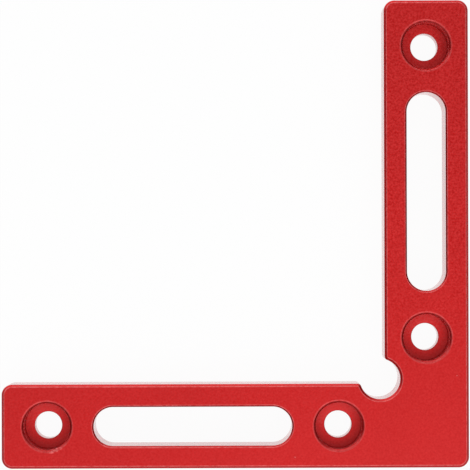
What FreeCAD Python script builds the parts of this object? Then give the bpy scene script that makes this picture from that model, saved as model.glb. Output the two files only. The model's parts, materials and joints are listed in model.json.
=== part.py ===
"""Positioning square: an L-shaped clamping square cut from one aluminium plate.

Millimetres. The square lies flat. X runs along one arm, Y along the other,
and Z is the plate's thickness. The origin is the middle of the outline, on
the lower face. The outer corner of the L is at +X -Y, and both arms end at
the sides -X and +Y. The arms are mirror images about the diagonal that runs
through the outer corner, so one arm is cut and the other is its mirror.
"""
import FreeCAD
import Part
import math
import os
import Sketcher

NODE = "positioning_square"
TOLERANCE = 1e-4

# Driving dimensions
SIZES = (
    ("arm_length", 120.0, "outside length of each arm"),
    ("arm_width", 21.6, "width of each arm"),
    ("plate_thickness", 12.0, "thickness of the plate"),
    ("corner_radius", 2.7, "radius of the five outer corners, seen from above"),
    ("outline_bevel", 0.6, "bevel round the outline, both faces"),
    ("relief_radius", 5.2, "radius of the round notch in the inner corner"),
    ("relief_offset", 1.2, "notch centre to each inner edge, on the open side"),
    ("mouth_rounding", 0.3, "rounding left inside the bevel where the notch meets the inner edges"),
    ("slot_width", 10.0, "width of the clamp slot in each arm"),
    ("slot_web", 5.5, "plate left between the end of a slot and a seat"),
    ("slot_bevel", 0.4, "bevel round the slots, both faces"),
    ("end_to_hole", 11.6, "free end of an arm to its first hole"),
    ("corner_to_hole", 33.4, "outer edge of the other arm to the second hole"),
    ("hole_diameter", 7.0, "clearance hole of an M6 screw"),
    ("hole_bevel", 0.3, "bevel where the hole leaves the lower face"),
    ("seat_diameter", 12.0, "recess that takes the head of the screw"),
    ("seat_depth", 6.5, "upper face to the flat bottom of the recess"),
    ("seat_bevel", 0.5, "bevel round the recess on the upper face"),
)

# Places along and across an arm, from the outer corner, as expressions on the sheet
HALF_LENGTH = "sizes.arm_length / 2"
CENTRE_LINE = "sizes.arm_width / 2"
FIRST_HOLE = "sizes.arm_length - sizes.end_to_hole"
SECOND_HOLE = "sizes.corner_to_hole"
SLOT_RADIUS = "sizes.slot_width / 2"
HOLE_TO_SLOT = "(sizes.seat_diameter / 2 + sizes.seat_bevel + sizes.slot_web + sizes.slot_width / 2)"
SLOT_START = SECOND_HOLE + " + " + HOLE_TO_SLOT
SLOT_END = FIRST_HOLE + " - " + HOLE_TO_SLOT
RELIEF_CENTRE = "sizes.arm_width + sizes.relief_offset"
MOUTH_RADIUS = "sizes.outline_bevel + sizes.mouth_rounding"

document = FreeCAD.newDocument(NODE)
sheet = document.addObject("Spreadsheet::Sheet", "sizes")
for row, (name, number, meaning) in enumerate(SIZES, start=1):
    sheet.set("A%d" % row, name)
    sheet.set("B%d" % row, str(number))
    sheet.set("C%d" % row, meaning)
    sheet.setAlias("B%d" % row, name)
document.recompute()
body = document.addObject("PartDesign::Body", NODE)
body.Label = NODE


def value(expression):
    """What an expression on the sheet comes to."""
    return body.evalExpression(expression)


def size(name):
    """One driving dimension, read from the sheet."""
    return value("sizes." + name)


def place(across, along):
    """A sketch point: across the upright arm from the outer corner, and along it."""
    half = value(HALF_LENGTH)
    return FreeCAD.Vector(half - across, along - half, 0)


def new_sketch(name, height=None):
    """A sketch on the body's XY plane, or raised above it by a size of the sheet."""
    sketch = body.newObject("Sketcher::SketchObject", name)
    plane = [item for item in body.Origin.OriginFeatures if item.Role == "XY_Plane"][0]
    sketch.AttachmentSupport = (plane, [""])
    sketch.MapMode = "FlatFace"
    if height:
        sketch.setExpression("AttachmentOffset.Base.z", height)
    return sketch


def dimension(sketch, name, expression, kind, *where):
    """A sketch dimension that the sheet drives."""
    index = sketch.addConstraint(Sketcher.Constraint(kind, *where, value(expression)))
    sketch.renameConstraint(index, name)
    sketch.setExpression("Constraints." + name, expression)


def outer_corner(sketch):
    """A construction point at the outer corner of the L, which the rest is measured from."""
    point = sketch.addGeometry(Part.Point(place(0, 0)), True)
    dimension(sketch, "corner_across", HALF_LENGTH, "DistanceX", -1, 1, point, 1)
    dimension(sketch, "corner_down", HALF_LENGTH, "DistanceY", point, 1, -1, 1)
    return point


def circle_at(across, along, radius):
    """A circle in a sketch's plane."""
    return Part.Circle(place(across, along), FreeCAD.Vector(0, 0, 1), radius)


def check(feature):
    """Stop if the feature failed or its solid isn't sound."""
    document.recompute()
    failed = "Invalid" in feature.State or "Error" in feature.State
    if failed or feature.Shape.isNull() or not feature.Shape.isValid():
        raise RuntimeError(feature.Name + " failed")


def check_cut(feature, before):
    """Stop if the cut failed or took no material away."""
    check(feature)
    if feature.Shape.Volume > before.Shape.Volume - TOLERANCE:
        raise RuntimeError(feature.Name + " cut nothing")


def edge_names(feature, wanted):
    """Names of the feature's edges that the test accepts."""
    edges = enumerate(feature.Shape.Edges, start=1)
    return ["Edge%d" % number for number, edge in edges if wanted(edge)]


def is_upright(edge):
    """Whether the edge is a straight line along Z."""
    if edge.Curve.TypeId != "Part::GeomLine":
        return False
    return abs(abs(edge.Curve.Direction.z) - 1) < TOLERANCE


def is_level(item, height):
    """Whether the whole edge or face lies at the height."""
    box = item.BoundBox
    return abs(box.ZMin - height) < TOLERANCE and abs(box.ZMax - height) < TOLERANCE


def stands_at(edge, point):
    """Whether the upright edge stands at the point, seen from above."""
    middle = edge.CenterOfMass
    return math.hypot(middle.x - point.x, middle.y - point.y) < TOLERANCE


def bevel(name, base, edges, expression):
    """A chamfer on the edges, with its size from the sheet."""
    feature = body.newObject("PartDesign::Chamfer", name)
    feature.Base = (base, edges)
    feature.setExpression("Size", expression)
    check(feature)
    return feature


def rounding(name, base, edges, expression):
    """A fillet on the edges, with its radius from the sheet."""
    feature = body.newObject("PartDesign::Fillet", name)
    feature.Base = (base, edges)
    feature.setExpression("Radius", expression)
    check(feature)
    return feature


def through_cut(name, sketch, base):
    """A pocket of the sketch's outline, up through the whole plate."""
    cut = body.newObject("PartDesign::Pocket", name)
    cut.Profile = sketch
    cut.Type = "ThroughAll"
    cut.Reversed = True
    check_cut(cut, base)
    return cut


def make_blank():
    """The L-shaped plate with sharp edges."""
    length = size("arm_length")
    width = size("arm_width")
    corners = ((0, 0), (0, length), (width, length), (width, width), (length, width), (length, 0))
    points = [place(across, along) for across, along in corners]
    sketch = new_sketch("outline")
    corner = outer_corner(sketch)
    lines = []
    for start, end in zip(points, points[1:] + points[:1]):
        lines.append(sketch.addGeometry(Part.LineSegment(start, end)))
    outer_side, free_end, inner_side, inner_top, other_end, outer_bottom = lines
    for line, following in zip(lines, lines[1:] + lines[:1]):
        sketch.addConstraint(Sketcher.Constraint("Coincident", line, 2, following, 1))
    for line in (outer_side, inner_side, other_end):
        sketch.addConstraint(Sketcher.Constraint("Vertical", line))
    for line in (free_end, inner_top, outer_bottom):
        sketch.addConstraint(Sketcher.Constraint("Horizontal", line))
    sketch.addConstraint(Sketcher.Constraint("Coincident", outer_side, 1, corner, 1))
    dimension(sketch, "upright_length", "sizes.arm_length", "DistanceY", outer_side, 1, outer_side, 2)
    dimension(sketch, "level_length", "sizes.arm_length", "DistanceX", outer_bottom, 1, outer_bottom, 2)
    dimension(sketch, "upright_width", "sizes.arm_width", "DistanceX", free_end, 2, free_end, 1)
    dimension(sketch, "level_width", "sizes.arm_width", "DistanceY", other_end, 2, other_end, 1)
    plate = body.newObject("PartDesign::Pad", "plate")
    plate.Profile = sketch
    plate.setExpression("Length", "sizes.plate_thickness")
    check(plate)
    return plate


def round_corners(plate):
    """The five outer corners, each rounded over the plate's full thickness."""
    inner_corner = place(size("arm_width"), size("arm_width"))
    edges = edge_names(plate, lambda edge: is_upright(edge) and not stands_at(edge, inner_corner))
    return rounding("outer_corners", plate, edges, "sizes.corner_radius")


def relieve_corner(plate):
    """The round notch that keeps the inner corner clear of glue and of a sharp arris."""
    centre = value(RELIEF_CENTRE)
    radius = size("relief_radius")
    sketch = new_sketch("relief_circle")
    corner = outer_corner(sketch)
    ring = sketch.addGeometry(circle_at(centre, centre, radius))
    dimension(sketch, "centre_across", RELIEF_CENTRE, "DistanceX", ring, 3, corner, 1)
    dimension(sketch, "centre_along", RELIEF_CENTRE, "DistanceY", corner, 1, ring, 3)
    dimension(sketch, "radius", "sizes.relief_radius", "Radius", ring)
    notch = through_cut("relief", sketch, plate)
    width = size("arm_width")
    reach = centre + math.sqrt(radius ** 2 - size("relief_offset") ** 2)
    mouths = (place(width, reach), place(reach, width))

    def is_mouth(edge):
        return is_upright(edge) and any(stands_at(edge, mouth) for mouth in mouths)

    return rounding("relief_mouth", notch, edge_names(notch, is_mouth), MOUTH_RADIUS)


def bevel_outline(plate):
    """The bevel that runs all the way round the outline on both faces."""
    heights = (0, size("plate_thickness"))
    edges = edge_names(plate, lambda edge: any(is_level(edge, height) for height in heights))
    return bevel("outline_bevels", plate, edges, "sizes.outline_bevel")


def cut_slot(plate):
    """The clamp slot of the upright arm, between its two holes."""
    line = value(CENTRE_LINE)
    radius = value(SLOT_RADIUS)
    start = value(SLOT_START)
    end = value(SLOT_END)
    sketch = new_sketch("slot_outline")
    corner = outer_corner(sketch)
    upper = sketch.addGeometry(Part.ArcOfCircle(circle_at(line, end, radius), 0, math.pi))
    lower = sketch.addGeometry(Part.ArcOfCircle(circle_at(line, start, radius), math.pi, 2 * math.pi))
    left_side = Part.LineSegment(place(line + radius, start), place(line + radius, end))
    right_side = Part.LineSegment(place(line - radius, start), place(line - radius, end))
    left = sketch.addGeometry(left_side)
    right = sketch.addGeometry(right_side)
    sketch.addConstraint(Sketcher.Constraint("Tangent", upper, 1, right, 2))
    sketch.addConstraint(Sketcher.Constraint("Tangent", upper, 2, left, 2))
    sketch.addConstraint(Sketcher.Constraint("Tangent", lower, 1, left, 1))
    sketch.addConstraint(Sketcher.Constraint("Tangent", lower, 2, right, 1))
    sketch.addConstraint(Sketcher.Constraint("Vertical", left))
    sketch.addConstraint(Sketcher.Constraint("Equal", upper, lower))
    dimension(sketch, "end_radius", SLOT_RADIUS, "Radius", upper)
    dimension(sketch, "centre_line", CENTRE_LINE, "DistanceX", upper, 3, corner, 1)
    dimension(sketch, "slot_start", SLOT_START, "DistanceY", corner, 1, lower, 3)
    dimension(sketch, "slot_end", SLOT_END, "DistanceY", corner, 1, upper, 3)
    return through_cut("slot", sketch, plate)


def drill_holes(plate):
    """The two screw holes of the upright arm: flat-bottomed recess and clearance hole."""
    line = value(CENTRE_LINE)
    sketch = new_sketch("hole_centres", "sizes.plate_thickness")
    corner = outer_corner(sketch)
    for name, along in (("first", FIRST_HOLE), ("second", SECOND_HOLE)):
        ring = sketch.addGeometry(circle_at(line, value(along), size("hole_diameter") / 2))
        dimension(sketch, name + "_across", CENTRE_LINE, "DistanceX", ring, 3, corner, 1)
        dimension(sketch, name + "_along", along, "DistanceY", corner, 1, ring, 3)
        dimension(sketch, name + "_diameter", "sizes.hole_diameter", "Diameter", ring)
    document.recompute()
    holes = body.newObject("PartDesign::Hole", "screw_holes")
    holes.Profile = sketch
    holes.ThreadType = "None"
    holes.DepthType = "ThroughAll"
    holes.DrillPoint = "Flat"
    holes.HoleCutType = "Counterbore"
    holes.setExpression("Diameter", "sizes.hole_diameter")
    holes.setExpression("HoleCutDiameter", "sizes.seat_diameter")
    holes.setExpression("HoleCutDepth", "sizes.seat_depth")
    check_cut(holes, plate)
    return holes


def mirror_arm(plate, cuts):
    """The same slot and holes in the other arm, about the diagonal of the L."""
    sketch = new_sketch("diagonal")
    corner = outer_corner(sketch)
    line = sketch.addGeometry(Part.LineSegment(FreeCAD.Vector(0, 0, 0), place(0, 0)), True)
    sketch.addConstraint(Sketcher.Constraint("Coincident", line, 1, -1, 1))
    sketch.addConstraint(Sketcher.Constraint("Coincident", line, 2, corner, 1))
    document.recompute()
    mirrored = body.newObject("PartDesign::Mirrored", "other_arm")
    mirrored.Originals = cuts
    mirrored.MirrorPlane = (sketch, ["Axis0"])
    body.Tip = mirrored
    check_cut(mirrored, plate)
    return mirrored


def opening_edges(feature, height, is_round):
    """Edges round the openings of a flat face: those of the round holes, or of the slots."""
    faces = [face for face in feature.Shape.Faces if is_level(face, height)]
    wires = [wire for face in faces for wire in face.Wires if not wire.isSame(face.OuterWire)]
    rims = [wire for wire in wires if (len(wire.Edges) == 1) == is_round]
    edges = [edge for wire in rims for edge in wire.Edges]
    return edge_names(feature, lambda edge: any(edge.isSame(other) for other in edges))


def bevel_openings(plate):
    """The bevels round the slots, the recesses and the lower ends of the holes."""
    top = size("plate_thickness")
    slot_edges = opening_edges(plate, 0, False) + opening_edges(plate, top, False)
    plate = bevel("slot_bevels", plate, slot_edges, "sizes.slot_bevel")
    plate = bevel("seat_bevels", plate, opening_edges(plate, top, True), "sizes.seat_bevel")
    return bevel("hole_bevels", plate, opening_edges(plate, 0, True), "sizes.hole_bevel")


square = make_blank()
square = round_corners(square)
square = relieve_corner(square)
square = bevel_outline(square)
slot = cut_slot(square)
holes = drill_holes(slot)
square = mirror_arm(holes, [slot, holes])
square = bevel_openings(square)
body.Tip = square
document.recompute()

for item in document.Objects:
    if "Invalid" in item.State or "Error" in item.State:
        raise RuntimeError(item.Label + " is in state " + ", ".join(item.State))
solid = body.Shape
if solid.isNull() or not solid.isValid() or len(solid.Solids) != 1:
    raise RuntimeError(NODE + " is not one sound solid")

os.makedirs("parts", exist_ok=True)
solid.exportStep("parts/" + NODE + ".step")
box = solid.BoundBox
print("%s: %.1f x %.1f x %.1f mm, %.1f mm3" % (NODE, box.XLength, box.YLength, box.ZLength, solid.Volume))
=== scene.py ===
"""Looks of the positioning square: one bead-blasted plate, anodised red.

Metres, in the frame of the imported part: the square lies flat on Z = 0, its
outer corner at +X -Y, its arms running to the sides -X and +Y. The plate is
one mesh: flat outlines, each carrying its outward normals, are swept down a
cross-section whose corners are softened as blasting leaves them.
"""

import json
import math

import bpy
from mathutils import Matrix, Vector
from mathutils.geometry import tessellate_polygon


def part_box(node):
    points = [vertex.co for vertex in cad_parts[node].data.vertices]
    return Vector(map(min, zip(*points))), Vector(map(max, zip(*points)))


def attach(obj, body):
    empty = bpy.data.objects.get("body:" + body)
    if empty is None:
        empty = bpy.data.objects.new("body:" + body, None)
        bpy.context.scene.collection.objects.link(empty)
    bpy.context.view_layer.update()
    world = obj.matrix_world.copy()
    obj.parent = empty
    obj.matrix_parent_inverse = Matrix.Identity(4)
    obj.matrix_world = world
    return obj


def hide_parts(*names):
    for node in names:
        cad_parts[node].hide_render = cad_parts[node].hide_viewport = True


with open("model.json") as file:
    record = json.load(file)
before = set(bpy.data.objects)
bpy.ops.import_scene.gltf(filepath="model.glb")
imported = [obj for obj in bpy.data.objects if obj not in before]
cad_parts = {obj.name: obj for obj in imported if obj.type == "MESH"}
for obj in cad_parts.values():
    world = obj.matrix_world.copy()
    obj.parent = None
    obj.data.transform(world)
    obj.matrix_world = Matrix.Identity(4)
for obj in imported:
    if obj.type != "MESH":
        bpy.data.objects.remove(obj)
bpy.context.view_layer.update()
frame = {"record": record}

MM = 0.001
QUARTER = math.pi / 2
NODE = "positioning_square"

# Sizes that the frame gives
_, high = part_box(NODE)
HALF = high.x
THICKNESS = high.z
mounts = {mount["name"]: mount for mount in frame["record"]["mounts"]}
INNER_X = mounts["inner_upright_edge"]["pos_m"][0]
INNER_Y = mounts["inner_level_edge"]["pos_m"][1]
BORE_RADIUS = mounts["upright_end_screw_hole"]["dims"]["r_mm"] * MM
SEAT_RADIUS = mounts["upright_end_head_seat"]["dims"]["r_mm"] * MM

# Sizes of the plate's cuts and bevels
CORNER_RADIUS = 2.7 * MM
OUTLINE_BEVEL = 0.6 * MM
NOTCH_RADIUS = 5.2 * MM
NOTCH_OFFSET = 1.2 * MM
MOUTH_RADIUS = 0.9 * MM
SLOT_RADIUS = 5.0 * MM
SLOT_WEB = 5.5 * MM
SLOT_BEVEL = 0.4 * MM
SEAT_BEVEL = 0.5 * MM
SEAT_DEPTH = 6.5 * MM
SEAT_DISH = 0.2 * MM
HOLE_BEVEL = 0.3 * MM

# How blasting and handling leave the corners of the cross-section; the paler worn arrises are partly a
# painted highlight
ARRIS_RADIUS = 0.12 * MM
RIM_RADIUS = 0.5 * MM
RIM_WEAR_AND_HIGHLIGHT = 0.4
WEAR_AND_HIGHLIGHT_REACH = 0.15 * MM

# Steps of the rounds, and a stretch of flat beyond the bevels that only gives its direction
ARRIS_STEPS = 4
ARC_STEP = math.radians(3)
FLAT_REACH = 1 * MM


def arc(centre, radius, start, end, bulge=1):
    """Points of an arc with their outward normals.

    The bulge is 1 on a convex corner and -1 on a concave one.
    """
    steps = math.ceil(abs(end - start) / ARC_STEP)
    points = []
    for step in range(steps + 1):
        angle = start + (end - start) * step / steps
        way = Vector((math.cos(angle), math.sin(angle)))
        points.append((Vector(centre) + way * radius, way * bulge))
    return points


def outline_loop():
    """The L seen from above, counterclockwise, with the notch in its inner corner."""
    near = HALF - CORNER_RADIUS
    notch = Vector((INNER_X - NOTCH_OFFSET, INNER_Y + NOTCH_OFFSET))
    span = NOTCH_RADIUS + MOUTH_RADIUS
    across = NOTCH_OFFSET + MOUTH_RADIUS
    along = math.sqrt(span ** 2 - across ** 2)
    opening = math.atan2(along, across)
    loop = arc((near, -near), CORNER_RADIUS, -QUARTER, 0)
    loop += arc((near, near), CORNER_RADIUS, 0, QUARTER)
    loop += arc((INNER_X + CORNER_RADIUS, near), CORNER_RADIUS, QUARTER, math.pi)
    loop += arc((notch.x + across, notch.y + along), MOUTH_RADIUS, math.pi, math.pi + opening)
    loop += arc(notch, NOTCH_RADIUS, opening, -QUARTER - opening, -1)
    loop += arc((notch.x - along, notch.y - across), MOUTH_RADIUS, QUARTER - opening, QUARTER)
    loop += arc((-near, INNER_Y - CORNER_RADIUS), CORNER_RADIUS, QUARTER, math.pi)
    loop += arc((-near, -near), CORNER_RADIUS, math.pi, math.pi + QUARTER)
    return loop


def hole_centres(arm):
    """The two hole centres of an arm, from the mounts."""
    names = (arm + place + "_screw_hole" for place in ("_end", "_inner"))
    return [Vector(mounts[name]["pos_m"][:2]) for name in names]


def slot_loop(arm):
    """The slot between an arm's two holes, clockwise."""
    first, second = hole_centres(arm)
    along = (first - second).normalized()
    setback = SEAT_RADIUS + SEAT_BEVEL + SLOT_WEB + SLOT_RADIUS
    heading = math.atan2(along.y, along.x)
    near_end = arc(first - along * setback, SLOT_RADIUS, heading + QUARTER, heading - QUARTER, -1)
    far_end = arc(second + along * setback, SLOT_RADIUS, heading - QUARTER, heading - 3 * QUARTER, -1)
    return near_end + far_end


def hole_loop(centre):
    """The wall of a head seat, clockwise."""
    return arc(centre, SEAT_RADIUS, 2 * math.pi, 0, -1)[:-1]


def softened(corners):
    """A cross-section from the upper face to the lower one, with its corners rounded.

    Corners are (inset, height, radius of the round, share worn by handling and partly a painted
    highlight, painted shade), between a first and a last point on the flat faces. The result is rings of
    (inset, height, tilt, wear_and_highlight, recess_shade), where the tilt is the rise of the normal. The
    flats keep their own normals.
    """
    rings = []
    for before, (*corner, radius, wear_and_highlight, recess_shade), after in zip(corners, corners[1:], corners[2:]):
        arriving = (Vector(corner) - Vector(before[:2])).normalized()
        leaving = (Vector(after[:2]) - Vector(corner)).normalized()
        from_tilt = math.atan2(-arriving.x, -arriving.y)
        to_tilt = math.atan2(-leaving.x, -leaving.y)
        turn = to_tilt - from_tilt
        set_back = radius * math.tan(abs(turn) / 2)
        start = Vector(corner) - arriving * set_back
        side = math.copysign(1, -turn)
        first_normal = Vector((-math.cos(from_tilt), math.sin(from_tilt)))
        middle = start - first_normal * radius * side
        rings.append((*(start - arriving * WEAR_AND_HIGHLIGHT_REACH), from_tilt, 0, 0))
        for step in range(ARRIS_STEPS + 1):
            tilt = from_tilt + turn * step / ARRIS_STEPS
            normal = Vector((-math.cos(tilt), math.sin(tilt)))
            rings.append((*(middle + normal * radius * side), tilt, wear_and_highlight, recess_shade))
        rings.append((*(Vector(corner) + leaving * (set_back + WEAR_AND_HIGHLIGHT_REACH)), to_tilt, 0, recess_shade))
    return rings


def edge_section(bevel):
    """A plain through wall with the same bevel on both faces."""
    flat = bevel + FLAT_REACH
    return softened([
        (flat, THICKNESS),
        (bevel, THICKNESS, ARRIS_RADIUS, 1, 0),
        (0, THICKNESS - bevel, ARRIS_RADIUS, 0, 0),
        (0, bevel, ARRIS_RADIUS, 0, 0),
        (bevel, 0, ARRIS_RADIUS, 1, 0),
        (flat, 0),
    ])


def hole_section():
    """Bevel, head seat, screw hole and lower bevel, with insets from the seat's wall.

    The cutter leaves the seat's floor very slightly dished toward the hole.
    """
    step = SEAT_RADIUS - BORE_RADIUS
    floor = THICKNESS - SEAT_DEPTH
    flat = SEAT_BEVEL + FLAT_REACH
    return softened([
        (flat, THICKNESS),
        (SEAT_BEVEL, THICKNESS, RIM_RADIUS, RIM_WEAR_AND_HIGHLIGHT, 0),
        (0, THICKNESS - SEAT_BEVEL, ARRIS_RADIUS, 0, 0),
        # At the foot of the seat's wall the last value is 1: painted shade, fading out across the floor
        # toward the hole
        (0, floor, ARRIS_RADIUS, 0, 1),
        (-step, floor - SEAT_DISH, ARRIS_RADIUS, 0, 0),
        (-step, HOLE_BEVEL, ARRIS_RADIUS, 0, 0),
        (HOLE_BEVEL - step, 0, ARRIS_RADIUS, 1, 0),
        (flat - step, 0),
    ])


class Shell:
    """Vertices, normals, worn and painted-highlight share, painted shade and faces of the plate, before
    they become a mesh.
    """

    def __init__(self):
        self.points = []
        self.normals = []
        self.wear_and_highlight = []
        self.recess_shade = []
        self.faces = []

    def sweep(self, loop, rings):
        """Adds the wall of one outline, and returns the vertex numbers of its first and last ring."""
        count = len(loop)
        first = len(self.points)
        for inset, height, tilt, wear_and_highlight, recess_shade in rings:
            for point, outward in loop:
                spot = point - outward * inset
                level = outward * math.cos(tilt)
                self.points.append((spot.x, spot.y, height))
                self.normals.append((level.x, level.y, math.sin(tilt)))
                self.wear_and_highlight.append(wear_and_highlight)
                self.recess_shade.append(recess_shade)
        last = first + (len(rings) - 1) * count
        for upper in range(first, last, count):
            lower = upper + count
            for here in range(count):
                there = (here + 1) % count
                self.faces.append((upper + here, lower + here, lower + there, upper + there))
        return range(first, first + count), range(last, last + count)

    def fill(self, loops, facing):
        """Adds the flat face between an outline and its openings, turned up or down."""
        numbers = [number for loop in loops for number in loop]
        outlines = [[Vector(self.points[number]) for number in loop] for loop in loops]
        for corners in tessellate_polygon(outlines):
            one, two, three = (numbers[corner] for corner in corners)
            across = Vector(self.points[two]) - Vector(self.points[one])
            along = Vector(self.points[three]) - Vector(self.points[one])
            if across.cross(along).z * facing < 0:
                two, three = three, two
            self.faces.append((one, two, three))

    def to_object(self, name):
        """The mesh object, smooth with its own normals, with the worn and painted-highlight share and the
        painted shade as attributes.
        """
        mesh = bpy.data.meshes.new(name)
        mesh.from_pydata(self.points, [], self.faces)
        mesh.attributes.new("wear_and_highlight", "FLOAT", "POINT").data.foreach_set("value", self.wear_and_highlight)
        mesh.attributes.new("recess_shade", "FLOAT", "POINT").data.foreach_set("value", self.recess_shade)
        mesh.polygons.foreach_set("use_smooth", [True] * len(mesh.polygons))
        mesh.normals_split_custom_set_from_vertices(self.normals)
        mesh.update()
        made = bpy.data.objects.new(name, mesh)
        bpy.context.collection.objects.link(made)
        return made


def build_plate():
    """The whole square as one closed mesh."""
    shell = Shell()
    outline = shell.sweep(outline_loop(), edge_section(OUTLINE_BEVEL))
    openings = []
    for arm in ("upright", "level"):
        openings.append(shell.sweep(slot_loop(arm), edge_section(SLOT_BEVEL)))
        for centre in hole_centres(arm):
            openings.append(shell.sweep(hole_loop(centre), hole_section()))
    for end, facing in ((0, 1), (1, -1)):
        shell.fill([outline[end]] + [opening[end] for opening in openings], facing)
    return shell.to_object("anodised_plate")


# Colours are scene-linear
ANODISED_RED = (0.54, 0.017, 0.018, 1)
# Dark and pale ends of the blasted speckle; the pale end is partly a painted glint
DEEP_RED = (0.44, 0.004, 0.004, 1)
PALE_GRAIN_AND_GLINT_RED = (0.64, 0.030, 0.031, 1)
# Worn pale red of the marks and arrises; on the arrises it is partly a painted highlight
WORN_AND_HIGHLIGHT_RED = (0.75, 0.16, 0.16, 1)
WHITE = (1, 1, 1, 1)
TABLE_WHITE = (0.9, 0.9, 0.9, 1)

# Noises, in grains to the metre, and the stretch of their values that is put to use
BLAST_GRAIN = 1900
PEEN_GRAIN = 6000
CLOUD_GRAIN = 45
PATCH_GRAIN = 1200
TORN_GRAIN = 1600
NOISE_DETAIL = 2.0
NOISE_ROUGHNESS = 0.6
NOISE_MIDDLE = (0.3, 0.7)

# The dye: the share of speckle on the level arm, the speckle being partly painted glint, how much its
# tone drifts, and the painted shade on the recess floors at the foot of their walls, as a darker tone
LEVEL_ARM_SPECKLE = 0.5
CLOUD_TONES = (0.97, 1.03)
RECESS_SHADE_TONE = 0.86

# The least share of the dye that is worn off a worn arris, where the paler colour is partly a painted
# highlight
LEAST_WEAR_AND_HIGHLIGHT = 0.25

# A nick on the rim of the left recess and three specks on the face, in millimetres and degrees:
# centre, length, width and turn
MARKS = [
    ((-46.4, -55.2), 4.0, 1.3, 19),
    ((56.9, -36.4), 0.4, 0.3, 0),
    ((57.5, 56.1), 0.5, 0.35, 30),
    ((15.3, -57.2), 0.45, 0.35, 0),
]

# Half the height of the marks, the shares of their half-size between which they fade out, and a value
# past them all
MARK_HALF_HEIGHT = 1 * MM
MARK_EDGE = (0.7, 1.1)
PAST_MARKS = 10.0

# How much of a mark is torn off, from which stretch of a noise, and how far it stands out
TORN_SHARE = 0.9
TORN_NOISE = (0.44, 0.60)
TORN_RELIEF = 2.0

# The blasted metal and the clear skin over it
ROUGHNESS = (0.42, 0.50)
COARSE_RELIEF = {"Strength": 0.5, "Distance": 0.05 * MM}
FINE_RELIEF = {"Strength": 0.10, "Distance": 0.01 * MM}
COAT_ROUGHNESS = 0.10
COAT_IOR = 1.20

# Share of plain white in the table as the camera sees it, how far from the middle the gloss sees it all
# white, and how far the table reaches
WHITE_SHARE = 0.95
GLOSS_REACH = 80 * MM
TABLE_REACH = 3.0

# How bright the soft surroundings are low down and overhead, and the share of that from left and right,
# with the stretches of the direction's Z and X over which they change
LOW_SKY = 0.7
HIGH_SKY = 0.80
SKY_RISE = (0.2, 0.8)
SIDE_SHARE = 0.15
SIDE_REACH = (0.7, 0.95)

# Lamps: name, place, width, height and level
LAMPS = [
    ("high_near", (0.15, -0.55, 1.05), 0.8, 0.8, 1.42),
    ("low_far", (-0.35, 1.0, 0.2), 2.4, 0.4, 1.5),
]

# The camera: sensor and lens in millimetres, place in metres and turn in degrees
SENSOR_WIDTH = 36
LENS = 188.5
CAMERA_PLACE = (-0.00167, -0.00009, 0.6434)
CAMERA_TURN = (-0.003, -0.156, -0.171)

# Sockets of a Mix node that mixes colours; their names repeat for each type of data
MIX_FACTOR = 0
MIX_ONE = 6
MIX_TWO = 7
MIX_RESULT = 2


def feed(tree, node, inputs):
    """Sets inputs of a node; each is given a value or another node's output."""
    for name, given in inputs.items():
        if isinstance(given, bpy.types.NodeSocket):
            tree.links.new(given, node.inputs[name])
        else:
            node.inputs[name].default_value = given


def add(tree, kind, inputs=None, **settings):
    """A new shader node with its settings and inputs."""
    node = tree.nodes.new("ShaderNode" + kind)
    for name, setting in settings.items():
        setattr(node, name, setting)
    feed(tree, node, inputs or {})
    return node


def reckon(tree, operation, *terms):
    """The result of a Math node; each term is a value or another node's output."""
    return add(tree, "Math", dict(enumerate(terms)), operation=operation).outputs["Value"]


def length_of(tree, vector):
    """How long a vector is."""
    return add(tree, "VectorMath", {0: vector}, operation="LENGTH").outputs["Value"]


def grain(tree, place, scale):
    """Noise with so many grains to the metre."""
    noise = {"Vector": place, "Scale": scale, "Detail": NOISE_DETAIL, "Roughness": NOISE_ROUGHNESS}
    return add(tree, "TexNoise", noise).outputs["Fac"]


def spread(tree, source, values, reach=NOISE_MIDDLE):
    """Maps a stretch of the source to a range of values, and holds the end values beyond it."""
    return add(tree, "MapRange", {
        "Value": source,
        "From Min": reach[0],
        "From Max": reach[1],
        "To Min": values[0],
        "To Max": values[1],
    }).outputs["Result"]


def mixed(tree, blend, factor, one, two):
    """Two colours mixed; a factor or colour is a value or another node's output."""
    inputs = {MIX_FACTOR: factor, MIX_ONE: one, MIX_TWO: two}
    return add(tree, "Mix", inputs, data_type="RGBA", blend_type=blend).outputs[MIX_RESULT]


def chosen(tree, factor, one, two):
    """The first shader where the factor is 0, and the second where it is 1."""
    return add(tree, "MixShader", dict(enumerate((factor, one, two)))).outputs["Shader"]


def marks_mask(tree, place):
    """1 inside the small oval marks on the upper side of the plate, and 0 outside them."""
    nearest = PAST_MARKS
    for (x, y), length, width, turn in MARKS:
        local = add(tree, "Mapping", {
            "Vector": place,
            "Location": (x * MM, y * MM, THICKNESS),
            "Rotation": (0, 0, math.radians(turn)),
            "Scale": (length / 2 * MM, width / 2 * MM, MARK_HALF_HEIGHT),
        }, vector_type="TEXTURE")
        nearest = reckon(tree, "MINIMUM", length_of(tree, local.outputs["Vector"]), nearest)
    return spread(tree, nearest, (1, 0), MARK_EDGE)


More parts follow.
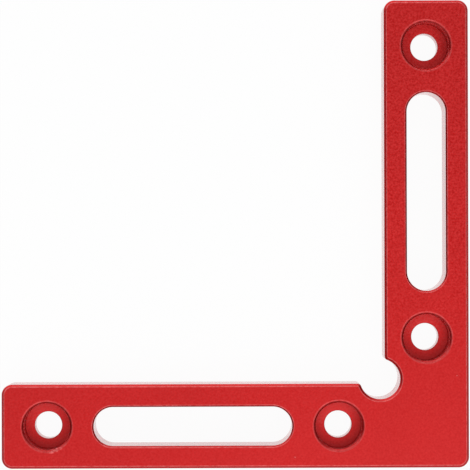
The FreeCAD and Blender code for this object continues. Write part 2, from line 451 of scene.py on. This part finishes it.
def anodised_material():
    """Blasted aluminium under a dyed oxide layer.

    It is red metal with a clear skin, a fine grain with partly painted glints, worn arrises that are
    partly a painted highlight, painted shade at the foot of the seat walls, and a few marks.
    """
    material = bpy.data.materials.new("red_anodised_blasted")
    material.use_nodes = True
    tree = material.node_tree
    place = add(tree, "TexCoord").outputs["Object"]
    blast = grain(tree, place, BLAST_GRAIN)

    # Speckle of the blast grain, whose pale, less saturated spots are partly painted glints
    speckled_with_glints = mixed(tree, "MIX", spread(tree, blast, (0, 1)), DEEP_RED, PALE_GRAIN_AND_GLINT_RED)
    axes = add(tree, "SeparateXYZ", {"Vector": place}).outputs
    speckle = spread(tree, axes["Y"], (LEVEL_ARM_SPECKLE, 1), (INNER_Y, 0))
    dyed = mixed(tree, "MIX", speckle, ANODISED_RED, speckled_with_glints)
    clouds = spread(tree, grain(tree, place, CLOUD_GRAIN), CLOUD_TONES)
    dyed = mixed(tree, "MULTIPLY", 1.0, dyed, clouds)
    # Painted shade: the colour darkens toward the foot of each seat's wall, down to RECESS_SHADE_TONE
    recess_shade = add(tree, "Attribute", attribute_name="recess_shade").outputs["Fac"]
    dyed = mixed(tree, "MULTIPLY", 1.0, dyed, spread(tree, recess_shade, (1, RECESS_SHADE_TONE), (0, 1)))

    # Worn arrises: paler where handling took the dye off, and partly a painted highlight along arrises
    # and rims
    wear_and_highlight = add(tree, "Attribute", attribute_name="wear_and_highlight").outputs["Fac"]
    patchy = spread(tree, grain(tree, place, PATCH_GRAIN), (LEAST_WEAR_AND_HIGHLIGHT, 1))
    rubbed_and_highlit = reckon(tree, "MULTIPLY", wear_and_highlight, patchy)
    ragged = spread(tree, grain(tree, place, TORN_GRAIN), (0, TORN_SHARE), TORN_NOISE)
    torn = reckon(tree, "MULTIPLY", marks_mask(tree, place), ragged)
    coloured = mixed(tree, "MIX", rubbed_and_highlit, dyed, WORN_AND_HIGHLIGHT_RED)
    coloured = mixed(tree, "MIX", torn, coloured, WORN_AND_HIGHLIGHT_RED)

    relief = reckon(tree, "MULTIPLY_ADD", torn, TORN_RELIEF, blast)
    coarse = add(tree, "Bump", {"Height": relief, **COARSE_RELIEF})
    peen = grain(tree, place, PEEN_GRAIN)
    fine = add(tree, "Bump", {"Height": peen, "Normal": coarse.outputs["Normal"], **FINE_RELIEF})
    feed(tree, tree.nodes["Principled BSDF"], {
        "Base Color": coloured,
        "Metallic": 1.0,
        "Roughness": spread(tree, blast, ROUGHNESS),
        "Normal": fine.outputs["Normal"],
        "Coat Weight": 1.0,
        "Coat Roughness": COAT_ROUGHNESS,
        "Coat IOR": COAT_IOR,
        "Coat Normal": fine.outputs["Normal"],
    })
    return material


def whiteness(tree):
    """How far the table shows as plain white: to the camera, and near the square in gloss.

    It is 0 for all other rays, which see matt white with the shadow of the square.
    """
    path = add(tree, "LightPath").outputs
    glossy = reckon(tree, "MAXIMUM", path["Is Glossy Ray"], path["Is Transmission Ray"])
    distance = length_of(tree, add(tree, "TexCoord").outputs["Object"])
    near = spread(tree, distance, (1, 0), (GLOSS_REACH, 2 * GLOSS_REACH))
    in_gloss = reckon(tree, "MULTIPLY", glossy, near)
    return reckon(tree, "MULTIPLY_ADD", path["Is Camera Ray"], WHITE_SHARE, in_gloss)


def floor_material():
    """A white table top, nearly as white in the shade of the square."""
    material = bpy.data.materials.new("white_table")
    material.use_nodes = True
    tree = material.node_tree
    tree.nodes.clear()
    matt = add(tree, "BsdfDiffuse", {"Color": TABLE_WHITE}).outputs["BSDF"]
    glow = add(tree, "Emission", {"Color": WHITE, "Strength": 1.0}).outputs["Emission"]
    add(tree, "OutputMaterial", {"Surface": chosen(tree, whiteness(tree), matt, glow)})
    return material


def build_floor():
    """A plain pale floor under the square."""
    reach = TABLE_REACH
    corners = [(-reach, -reach, 0), (reach, -reach, 0), (reach, reach, 0), (-reach, reach, 0)]
    mesh = bpy.data.meshes.new("table")
    mesh.from_pydata(corners, [], [(0, 1, 2, 3)])
    mesh.materials.append(floor_material())
    table = bpy.data.objects.new("table", mesh)
    bpy.context.collection.objects.link(table)


def build_world():
    """Soft light, a little weaker low down and much weaker from left and right.

    The camera sees plain white instead, behind everything.
    """
    world = bpy.data.worlds.new("studio")
    bpy.context.scene.world = world
    world.use_nodes = True
    tree = world.node_tree
    tree.nodes.clear()
    way = add(tree, "SeparateXYZ", {"Vector": add(tree, "TexCoord").outputs["Generated"]}).outputs
    level = spread(tree, way["Z"], (LOW_SKY, HIGH_SKY), SKY_RISE)
    share = spread(tree, reckon(tree, "ABSOLUTE", way["X"]), (1, SIDE_SHARE), SIDE_REACH)
    strength = reckon(tree, "MULTIPLY", level, share)
    soft = add(tree, "Background", {"Color": WHITE, "Strength": strength}).outputs["Background"]
    white = add(tree, "Background", {"Color": WHITE, "Strength": 1.0}).outputs["Background"]
    seen = add(tree, "LightPath").outputs["Is Camera Ray"]
    add(tree, "OutputWorld", {"Surface": chosen(tree, seen, soft, white)})


def area_light(name, place, width, height, level):
    """A lamp aimed at the origin, as bright as a white surface at that level."""
    data = bpy.data.lights.new(name, "AREA")
    data.shape = "RECTANGLE"
    data.size = width
    data.size_y = height
    data.energy = level * math.pi * width * height
    lamp = bpy.data.objects.new(name, data)
    lamp.location = place
    lamp.rotation_euler = Vector(place).to_track_quat("Z", "Y").to_euler()
    bpy.context.collection.objects.link(lamp)


def build_lights():
    """A wide lamp high on the near right, and a low one along the far side."""
    for lamp in LAMPS:
        area_light(*lamp)


def build_camera():
    """The photograph's view: straight down on the middle of the square, turned by under 0.2 degrees."""
    data = bpy.data.cameras.new("camera")
    data.sensor_width = SENSOR_WIDTH
    data.lens = LENS
    camera = bpy.data.objects.new("camera", data)
    camera.location = CAMERA_PLACE
    camera.rotation_euler = [math.radians(angle) for angle in CAMERA_TURN]
    bpy.context.collection.objects.link(camera)
    bpy.context.scene.camera = camera


plate = build_plate()
plate.data.materials.append(anodised_material())
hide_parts(NODE)
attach(plate, "root")
build_floor()
build_world()
build_lights()
build_camera()
bpy.context.scene.view_settings.view_transform = "Standard"
